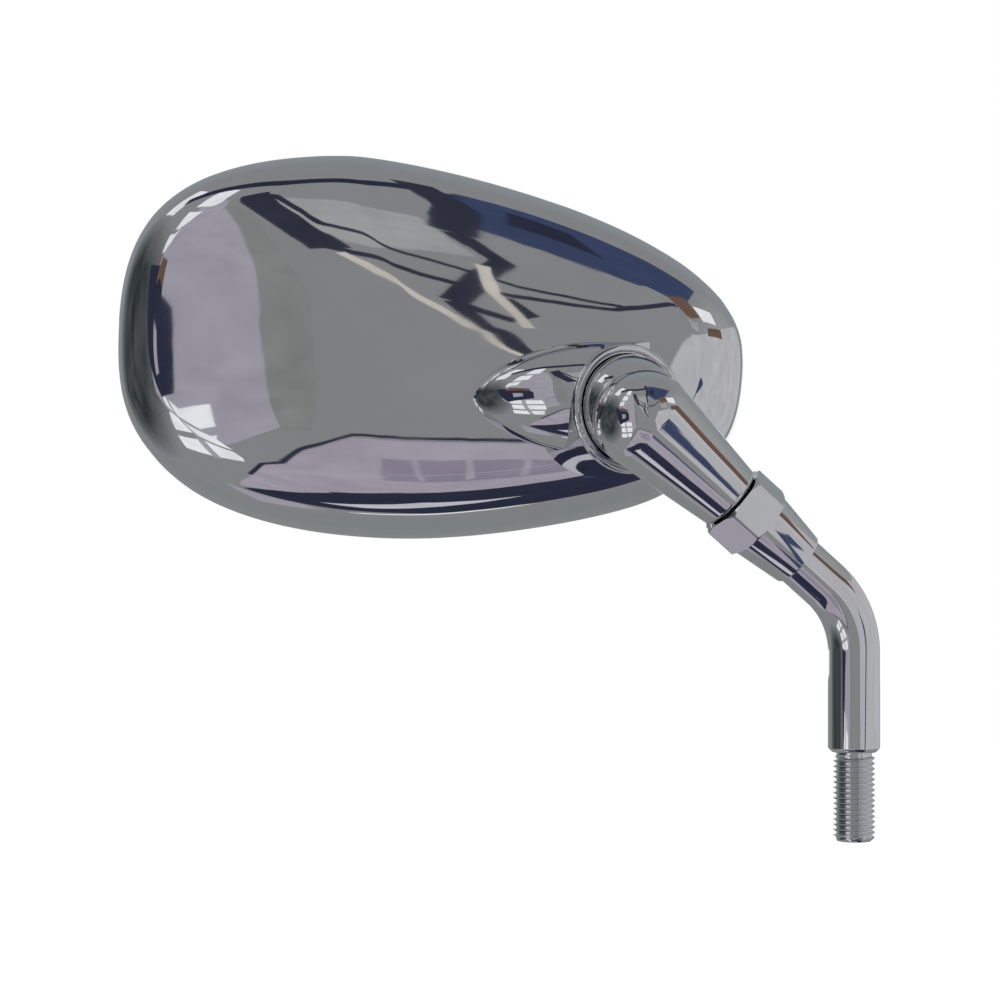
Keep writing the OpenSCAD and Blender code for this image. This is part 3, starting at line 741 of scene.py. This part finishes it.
class MIRROR_OT_arm(bpy.types.Operator):
    """Build the cast arm with its ball, elbow and tapered end"""
    bl_idname = "mirror.arm"
    bl_label = "Cast arm"

    def execute(self, context):
        arm, joint = settings().arm, settings().joint
        elbow = BEND_CORNER + ARM_AXIS * arm.elbow_distance
        across = elbow - BALL_CENTRE
        d, f = across.length, arm.fillet
        fx = (d * d + (joint.ball + f) ** 2 - (arm.elbow + f) ** 2) / (2 * d)
        fy = math.sqrt((joint.ball + f) ** 2 - fx * fx)
        to_ball, to_elbow = math.atan2(fy, fx), math.atan2(fy, d - fx)
        knuckle = arc((0, 0), joint.ball, math.pi, to_ball, 64)
        knuckle += arc((fy, fx), f, to_ball - math.pi, -to_elbow, 24)[1:]
        knuckle += arc((0, d), arm.elbow, math.pi - to_elbow, 0, 64)[1:]
        piece = as_object(turned(knuckle, facing(across, BALL_CENTRE), 192), "cast_arm")
        combine(piece, "UNION", self.taper(arm, settings().stem))
        finish_piece(piece, chrome("arm_chrome"), "arm", ["arm"], 30)
        return {"FINISHED"}

    def taper(self, arm, stem):
        """The arm's cone, tangent to the elbow, with its rounded end and its bore."""
        radius = arm.elbow - TUCK
        start = (arm.tip, arm.start + arm.end_round)
        to_centre = math.hypot(start[0], arm.elbow_distance - start[1])
        lean = math.asin(radius / to_centre) - math.atan2(start[0], arm.elbow_distance - start[1])
        bore = stem.stud + THREAD_PLAY
        outline = [(0, arm.start + arm.hole_depth), (bore, arm.start + arm.hole_depth),
                   (bore, arm.start + 0.4 * MM), (bore + 0.4 * MM, arm.start)]
        outline += arc((arm.tip - arm.end_round, arm.start + arm.end_round),
                       arm.end_round, math.pi, math.pi / 2, 12)
        outline += arc((0, arm.elbow_distance), radius, math.pi / 2 + lean, 0, 48)
        return turned(outline, facing(ARM_AXIS, BEND_CORNER), 192)


class MIRROR_OT_lock_nut(bpy.types.Operator):
    """Build the lock nut with its chamfered hexagon and tapered skirt"""
    bl_idname = "mirror.lock_nut"
    bl_label = "Lock nut"

    def execute(self, context):
        nut, stem = settings().nut, settings().stem
        place = facing(ARM_AXIS, BEND_CORNER)
        hexagon_start = nut.skirt_start + nut.skirt_length
        hexagon_end = hexagon_start + nut.hexagon
        corner = nut.flats / 2 / math.cos(math.radians(30))
        bm = bmesh.new()
        bmesh.ops.create_circle(
            bm, cap_ends=True, segments=6, radius=corner,
            matrix=Matrix.Translation((0, 0, hexagon_start - 1 * MM)))
        grown = bmesh.ops.extrude_face_region(bm, geom=bm.faces[:])["geom"]
        bmesh.ops.translate(
            bm, vec=(0, 0, nut.hexagon + 2 * MM),
            verts=[g for g in grown if isinstance(g, bmesh.types.BMVert)])
        upright = [e for e in bm.edges if abs(e.verts[0].co.z - e.verts[1].co.z) > nut.hexagon / 2]
        bmesh.ops.bevel(
            bm, geom=upright, offset=NUT_EDGE_BEVEL, offset_type="OFFSET", segments=4, profile=0.5,
            affect="EDGES", material=-1)
        bmesh.ops.recalc_face_normals(bm, faces=bm.faces)
        # the CAD's hexagon has its corners turned, so these are turned to match
        turn = self.hexagon_turn(place)
        bmesh.ops.transform(bm, matrix=place @ turn, verts=bm.verts)
        piece = as_object(bm, "lock_nut_chrome")
        cut, over = nut.chamfer, 0.4 * MM
        cone = [(0, hexagon_start), (corner - cut, hexagon_start),
                (corner + over, hexagon_start + cut), (corner + over, hexagon_end - cut),
                (corner - cut, hexagon_end), (0, hexagon_end)]
        combine(piece, "INTERSECT", turned(cone, place, 192))
        bore = stem.rod + 0.1 * MM
        tip = bore + nut.skirt_wall
        root = nut.flats / 2
        skirt = [(0, nut.skirt_start), (tip - 0.5 * MM, nut.skirt_start)]
        skirt += arc((tip - SKIRT_ROUND, nut.skirt_start + SKIRT_ROUND), SKIRT_ROUND,
                     math.pi, math.pi / 2, 8)
        skirt_end = hexagon_start + 0.6 * MM
        skirt += [(root - 0.05 * MM, hexagon_start - 0.2 * MM),
                  (root - 0.05 * MM, skirt_end), (0, skirt_end)]
        combine(piece, "UNION", turned(skirt, place, 192))
        thread = stem.stud + THREAD_PLAY
        rod_room = stem.rod_end + 1 * MM
        hole = [(0, nut.skirt_start - 1 * MM), (bore, nut.skirt_start - 1 * MM), (bore, rod_room),
                (thread, rod_room), (thread, hexagon_end + 1 * MM), (0, hexagon_end + 1 * MM)]
        combine(piece, "DIFFERENCE", turned(hole, place, 96))
        finish_piece(piece, chrome("nut_chrome"), "nut", ["lock_nut"], 25)
        return {"FINISHED"}

    def hexagon_turn(self, place):
        """Turns the local frame so that its X axis lies as the CAD's does."""
        tilt_plane = Vector((-ARM_AXIS.x, -ARM_AXIS.y, 0)).normalized()
        local_x = (tilt_plane - ARM_AXIS * tilt_plane.dot(ARM_AXIS)).normalized()
        here = place.to_3x3().inverted() @ local_x
        return Matrix.Rotation(math.atan2(here.y, here.x) - math.pi / 2, 4, "Z")


class MIRROR_OT_stem(bpy.types.Operator):
    """Build the bent stem with its two cut threads"""
    bl_idname = "mirror.stem"
    bl_label = "Bent stem"

    def execute(self, context):
        stem = settings().stem
        tilt = math.acos(ARM_AXIS.z)
        tangent = stem.bend * math.tan(tilt / 2)
        outward = Vector((ARM_AXIS.x, ARM_AXIS.y, 0)).normalized()
        bm = bmesh.new()
        made = bmesh.ops.create_circle(
            bm, segments=96, radius=stem.stud - stem.thread_depth, cap_ends=False,
            matrix=Matrix.Translation((0, 0, -1.5 * MM)))
        edges = list({e for v in made["verts"] for e in v.link_edges})
        bm.faces.new(made["verts"])
        start = BEND_CORNER.z - tangent
        chamfer = stem.chamfer
        root = stem.stud - stem.thread_depth
        upright = Matrix.Identity(4)
        for height, radius in [
                (0.0, root), (0.0, stem.rod - chamfer), (0.15 * MM, stem.rod - chamfer * 0.8),
                (chamfer * 0.85, stem.rod - 0.1 * MM), (chamfer, stem.rod),
                (chamfer + 0.4 * MM, stem.rod), (start, stem.rod)]:
            edges = self.grow(bm, edges, upright, height, radius)
        pivot = Vector((0, 0, start)) + outward * stem.bend
        axis = Vector((0, 0, 1)).cross(outward)
        loop = [v for e in edges for v in e.verts]
        spun = bmesh.ops.spin(
            bm, geom=list(set(loop)) + edges, cent=pivot, axis=axis, dvec=(0, 0, 0),
            angle=tilt, steps=48, use_merge=False, use_duplicate=False)["geom_last"]
        edges = [g for g in spun if isinstance(g, bmesh.types.BMEdge)]
        place = facing(ARM_AXIS, BEND_CORNER)
        for height, radius in [
                (stem.rod_end - chamfer, stem.rod), (stem.rod_end, stem.rod - chamfer),
                (stem.rod_end, root), (stem.rod_end + 1.5 * MM, root)]:
            edges = self.grow(bm, edges, place, height, radius)
        bm.faces.new(self.loop_of(edges))
        bmesh.ops.recalc_face_normals(bm, faces=bm.faces)
        piece = as_object(bm, "bent_stem")
        finish_piece(piece, chrome("stem_chrome"), "stem", ["lower_stem"], 30)
        down = facing(Vector((0, 0, -1)), Vector((0, 0, 0)))
        stud = as_object(self.thread(stem, down, stem.stud_length), "stud_thread")
        finish_piece(stud, chrome("thread_chrome", 0.0), "stem", (), 50)
        top = facing(ARM_AXIS, BEND_CORNER + ARM_AXIS * stem.rod_end)
        upper = as_object(self.thread(stem, top, stem.upper_length), "upper_thread")
        finish_piece(upper, chrome("upper_thread_chrome", 0.0), "stem", (), 50)
        return {"FINISHED"}

    def grow(self, bm, edges, place, height, radius):
        """Extrudes a round loop to a height and radius in place's frame."""
        made = bmesh.ops.extrude_edge_only(bm, edges=edges)["geom"]
        fresh = [g for g in made if isinstance(g, bmesh.types.BMEdge)]
        inverse = place.inverted()
        for vert in {v for e in fresh for v in e.verts}:
            local = inverse @ vert.co
            flat = Vector((local.x, local.y, 0)).normalized() * radius
            vert.co = place @ Vector((flat.x, flat.y, height))
        return fresh

    def loop_of(self, edges):
        """The vertices of a closed loop of edges, in order."""
        ordered = [edges[0].verts[0], edges[0].verts[1]]
        rest = set(edges[1:])
        while rest:
            nearby = next(e for e in rest if ordered[-1] in e.verts)
            rest.discard(nearby)
            ordered.append(nearby.other_vert(ordered[-1]))
        return ordered[:-1]

    def thread(self, stem, place, length):
        """A cut thread, screwed from its section and turned down at both ends."""
        pitch, crest = stem.pitch, stem.stud
        root = crest - stem.thread_depth
        # radius and share of the pitch along one tooth
        tooth = [(root, 0.06), (root, 0.14), (crest - TOOTH_FACE, 0.50), (crest, 0.55),
                 (crest, 0.63), (crest - TOOTH_FACE, 0.68)]
        turns = int(length / pitch) + 3
        bm = bmesh.new()
        verts = []
        for k in range(-1, turns):
            verts += [bm.verts.new((radius, 0, (k + share) * pitch)) for radius, share in tooth]
        edges = [bm.edges.new(pair) for pair in zip(verts, verts[1:])]
        steps = 48
        bmesh.ops.spin(
            bm, geom=verts + edges, cent=(0, 0, 0), axis=(0, 0, 1),
            dvec=(0, 0, pitch / steps), angle=2 * math.pi, steps=steps,
            use_merge=False, use_duplicate=False)
        bmesh.ops.remove_doubles(bm, verts=bm.verts, dist=2e-6)
        for end, outwards in ((0.02 * MM, -1), (length, 1)):
            bmesh.ops.bisect_plane(
                bm, geom=bm.verts[:] + bm.edges[:] + bm.faces[:], dist=1e-7,
                plane_co=(0, 0, end), plane_no=(0, 0, outwards), clear_outer=True)
        for vert in bm.verts:
            reach = math.hypot(vert.co.x, vert.co.y)
            allowed = min(crest, crest - stem.chamfer + (length - vert.co.z))
            allowed = min(allowed, root + max(0.0, vert.co.z - 0.5 * MM) * 0.9)
            if reach > allowed:
                vert.co.x *= allowed / reach
                vert.co.y *= allowed / reach
        open_edges = [e for e in bm.edges if e.is_boundary]
        bmesh.ops.holes_fill(bm, edges=open_edges, sides=0)
        bmesh.ops.recalc_face_normals(bm, faces=bm.faces)
        bmesh.ops.transform(bm, matrix=place, verts=bm.verts)
        return bm


class MIRROR_OT_glass(bpy.types.Operator):
    """Build the convex glass with its ground edge"""
    bl_idname = "mirror.glass"
    bl_label = "Convex glass"

    def execute(self, context):
        head, glass = settings().head, settings().glass
        outline = head_outline(48)
        centre = DOME_CENTRE * MM
        steps = 24

        def ring(inset, scale, down):
            places = []
            for p in inset_outline(outline, glass.edge + inset):
                q = centre + scale * (p - centre)
                reach = (q - centre).length
                sag = glass.curve - math.sqrt(glass.curve ** 2 - reach ** 2)
                places.append(head_point(q.x, q.y, sag - glass.proud + down, head))
            return places

        rings = [ring(0.3 * MM, k / steps, 0) for k in range(1, steps + 1)]
        rings += [ring(0.08 * MM, 1, 0.08 * MM), ring(0, 1, 0.3 * MM),
                  ring(0, 1, glass.thickness)]
        rings += [ring(0, k / 4, glass.thickness) for k in (3, 2, 1)]
        piece = as_object(skin(rings), "convex_glass")
        material, shader = new_material("silvered_glass", settings().finish.glass, 1.0, 0.01)
        tree = material.node_tree
        tree.links.new(
            map_range(tree, add_noise(tree, 40, 4), 0.004, 0.02), shader.inputs["Roughness"])
        finish_piece(piece, material, "head", ["mirror_glass"], 30)
        return {"FINISHED"}


class MIRROR_OT_fittings(bpy.types.Operator):
    """Give the joint's hardware, the carrier, the pad and the gasket their finishes"""
    bl_idname = "mirror.fittings"
    bl_label = "Fittings"

    def execute(self, context):
        finish = settings().finish
        zinc = plain_finish("zinc_plate", finish.zinc, 1.0, 0.25, 0.45, 900, 0.1)
        spring = plain_finish("spring_wire", finish.spring, 1.0, 0.3, 0.5, 700, 0.1)
        nylon = plain_finish("nylon", finish.nylon, 0.0, 0.4, 0.55, 600, 0.1)
        insert = plain_finish("insert_nylon", finish.insert, 0.0, 0.4, 0.55, 600, 0.1)
        carrier = plain_finish("carrier_plastic", finish.carrier, 0.0, 0.5, 0.7, 1500, 0.3)
        foam = plain_finish("foam", finish.foam, 0.0, 0.8, 0.95, 2500, 0.6)
        gasket = plain_finish("gasket_rubber", finish.gasket, 0.0, 0.45, 0.65, 1200, 0.2)
        finishes = {
            "ball_stud": zinc, "pressure_washer": zinc, "flat_washer": zinc,
            "joint_nut": zinc, "carrier_screws": zinc, "joint_spring": spring,
            "friction_ring": nylon, "nut_insert": insert, "glass_carrier": carrier,
            "adhesive_pad": foam, "glass_gasket": gasket,
        }
        for name, material in finishes.items():
            node = frame["nodes"][name]
            node.data.materials.clear()
            node.data.materials.append(material)
        return {"FINISHED"}


class MIRROR_OT_studio(bpy.types.Operator):
    """Set up the floor, the surroundings seen in the chrome, the lamps and the camera"""
    bl_idname = "mirror.studio"
    bl_label = "Studio"

    def execute(self, context):
        studio = settings().studio
        self.floor(studio)
        self.world(studio)
        self.surroundings(studio)
        for number, (name, colour, corners) in enumerate(PANELS):
            self.panel(name, colour, [[towards(*c) for c in corners]], studio, number)
        for number, (name, colour, width, places) in enumerate(BANDS):
            self.band(name, colour, width, places, studio, len(PANELS) + number)
        for lamp in LAMPS:
            self.lamp(*lamp)
        self.camera(studio)
        context.scene.view_settings.view_transform = "Standard"
        return {"FINISHED"}

    def floor(self, studio):
        """A white floor that still takes the object's shadow."""
        bm = bmesh.new()
        bmesh.ops.create_grid(bm, x_segments=1, y_segments=1, size=FLOOR_REACH)
        bmesh.ops.translate(bm, vec=(0, FLOOR_BACK, studio.floor_height), verts=bm.verts)
        floor = as_object(bm, "floor")
        material, shader = new_material("pale_floor", studio.floor, 0.0, 0.9)
        tree = material.node_tree
        shader.inputs["Emission Color"].default_value = (1, 1, 1, 1)
        seen = self.seen(tree)
        strength = tree.nodes.new("ShaderNodeMath")
        strength.operation = "MULTIPLY"
        strength.inputs[1].default_value = FLOOR_GLOW
        tree.links.new(seen, strength.inputs[0])
        tree.links.new(strength.outputs["Value"], shader.inputs["Emission Strength"])
        floor.data.materials.append(material)

    def seen(self, tree):
        """One for rays from the camera, in reflections and through glass, else zero."""
        path = tree.nodes.new("ShaderNodeLightPath")
        value = path.outputs["Is Camera Ray"]
        for name in ("Is Glossy Ray", "Is Transmission Ray"):
            either = tree.nodes.new("ShaderNodeMath")
            either.operation = "MAXIMUM"
            tree.links.new(value, either.inputs[0])
            tree.links.new(path.outputs[name], either.inputs[1])
            value = either.outputs["Value"]
        return value

    def world(self, studio):
        world = bpy.data.worlds.new("studio_world")
        bpy.context.scene.world = world
        world.use_nodes = True
        tree = world.node_tree
        tree.nodes.clear()
        output = tree.nodes.new("ShaderNodeOutputWorld")
        mix = tree.nodes.new("ShaderNodeMixShader")
        for socket, colour in ((1, studio.ambient), (2, (1, 1, 1))):
            background = tree.nodes.new("ShaderNodeBackground")
            background.inputs["Color"].default_value = (*colour, 1)
            tree.links.new(background.outputs["Background"], mix.inputs[socket])
        tree.links.new(self.seen(tree), mix.inputs["Fac"])
        tree.links.new(mix.outputs["Shader"], output.inputs["Surface"])

    def reflected_only(self, piece, material):
        """Shown in reflections alone: no light, no shadow, not seen by the camera."""
        piece.data.materials.append(material)
        piece.visible_camera = False
        piece.visible_diffuse = False
        piece.visible_shadow = False
        piece.visible_volume_scatter = False
        piece.location = (HEAD_LOW + HEAD_HIGH) / 2

    def shining(self, name):
        """An empty material for a shining surface, and the socket for its colour."""
        material = bpy.data.materials.new(name)
        material.use_nodes = True
        tree = material.node_tree
        tree.nodes.clear()
        emission = tree.nodes.new("ShaderNodeEmission")
        output = tree.nodes.new("ShaderNodeOutputMaterial")
        tree.links.new(emission.outputs["Emission"], output.inputs["Surface"])
        return material, tree, emission.inputs["Color"]

    def surroundings(self, studio):
        """A round wall, open behind the mirror, whose colour runs on from side to side."""
        bm = bmesh.new()
        bmesh.ops.create_uvsphere(bm, u_segments=96, v_segments=48, radius=studio.radius)
        behind = [f for f in bm.faces
                  if f.calc_center_median().y > studio.radius * OPEN_BEHIND
                  and f.calc_center_median().z > studio.radius * OPEN_ABOVE]
        bmesh.ops.delete(bm, geom=behind, context="FACES")
        wall = as_object(bm, "surroundings")
        wall.data.shade_smooth()
        material, tree, shown = self.shining("surroundings")
        place = tree.nodes.new("ShaderNodeSeparateXYZ")
        coordinates = tree.nodes.new("ShaderNodeTexCoord")
        tree.links.new(coordinates.outputs["Object"], place.inputs["Vector"])
        reach = studio.radius

        def share(axis, start, end):
            return map_range(tree, place.outputs[axis], 0, 1, start * reach, end * reach)

        def blend(first, second, factor):
            mix = tree.nodes.new("ShaderNodeMix")
            mix.data_type = "RGBA"
            for socket, value in (("A", first), ("B", second)):
                target = next(i for i in mix.inputs if i.name == socket and i.type == "RGBA")
                if isinstance(value, bpy.types.NodeSocket):
                    tree.links.new(value, target)
                else:
                    target.default_value = (*value, 1)
            tree.links.new(factor, mix.inputs["Factor"])
            return next(o for o in mix.outputs if o.type == "RGBA")

        back = blend(studio.below, studio.above, share("Z", -0.2, 0.3))
        colour = blend(studio.wall, back, share("Y", 0.2, 0.55))
        colour = blend(colour, studio.left, share("X", -0.72, -0.92))
        colour = blend(colour, studio.right, share("X", 0.7, 0.9))
        patches = map_range(tree, add_noise(tree, 5, 3), 0, 0.22)
        tree.links.new(blend(colour, PATCH_COLOUR, patches), shown)
        self.reflected_only(wall, material)

    def flat(self, name, colour):
        """A shining flat colour with faint patches."""
        material, tree, shown = self.shining(name)
        noise = add_noise(tree, 9, 2)
        tree.links.new(tint(tree, noise, shaded(colour, 0.88), shaded(colour, 1.05)), shown)
        return material

    def panel(self, name, colour, outlines, studio, number):
        """Flat-coloured patches of the surroundings; later ones hide earlier ones."""
        radius = studio.radius - (number + 1) * PANEL_SPACING
        bm = bmesh.new()
        for outline in outlines:
            bm.faces.new([bm.verts.new(corner * radius) for corner in outline])
        bmesh.ops.triangulate(bm, faces=bm.faces[:])
        bmesh.ops.subdivide_edges(bm, edges=bm.edges[:], cuts=PANEL_CUTS, use_grid_fill=True)
        for vert in bm.verts:
            vert.co = vert.co.normalized() * radius
        self.reflected_only(as_object(bm, "panel_" + name), self.flat(name, colour))

    def band(self, name, colour, width, places, studio, number):
        """A narrow strip along places, as wide as width degrees."""
        directions = [towards(*place) for place in places]
        half = math.tan(math.radians(width / 2))
        sides = []
        for i, here in enumerate(directions):
            before, after = directions[max(i - 1, 0)], directions[min(i + 1, len(directions) - 1)]
            across = here.cross(after - before).normalized() * half
            sides.append((here + across, here - across))
        outlines = [(*one, *other[::-1]) for one, other in zip(sides, sides[1:])]
        self.panel(name, colour, outlines, studio, number)

    def lamp(self, name, place, size, power):
        data = bpy.data.lights.new(name, "AREA")
        data.shape = "SQUARE"
        data.size = size
        data.energy = power
        lamp = bpy.data.objects.new(name, data)
        lamp.location = place
        target = (CAD_BOX[0] + CAD_BOX[1]) / 2
        lamp.rotation_euler = (target - Vector(place)).to_track_quat("-Z", "Y").to_euler()
        lamp.visible_glossy = False
        bpy.context.scene.collection.objects.link(lamp)

    def camera(self, studio):
        data = bpy.data.cameras.new("camera")
        data.sensor_width = SENSOR_WIDTH
        data.lens = studio.camera_lens
        camera = bpy.data.objects.new("camera", data)
        # aimed level and shifted in the frame, so that upright edges stay upright
        camera.location = (CAMERA_ACROSS, -studio.camera_distance, CAMERA_HEIGHT)
        data.shift_x, data.shift_y = CAMERA_SHIFT
        camera.rotation_euler = (math.radians(90), 0, 0)
        bpy.context.scene.collection.objects.link(camera)
        bpy.context.scene.camera = camera


STEPS = [
    MIRROR_OT_studio, MIRROR_OT_shell, MIRROR_OT_arm, MIRROR_OT_lock_nut,
    MIRROR_OT_stem, MIRROR_OT_glass, MIRROR_OT_fittings,
]


class MIRROR_PT_panel(bpy.types.Panel):
    """Buttons that build the mirror"""
    bl_idname = "MIRROR_PT_panel"
    bl_label = "Chrome mirror"
    bl_space_type = "VIEW_3D"
    bl_region_type = "UI"
    bl_category = "Mirror"

    def draw(self, context):
        for step in STEPS:
            self.layout.operator(step.bl_idname)


CLASSES = [
    HeadSizes, JointSizes, ArmSizes, NutSizes, StemSizes, GlassSizes, FinishColours,
    StudioColours, MirrorSettings, *STEPS, MIRROR_PT_panel,
]


def register():
    for cls in CLASSES:
        bpy.utils.register_class(cls)
    bpy.types.Scene.mirror = PointerProperty(type=MirrorSettings)


def unregister():
    del bpy.types.Scene.mirror
    for cls in reversed(CLASSES):
        bpy.utils.unregister_class(cls)


def main():
    register()
    bpy.ops.mirror.studio()
    bpy.ops.mirror.shell()
    bpy.ops.mirror.arm()
    bpy.ops.mirror.lock_nut()
    bpy.ops.mirror.stem()
    bpy.ops.mirror.glass()
    bpy.ops.mirror.fittings()


if __name__ == "__main__":
    main()
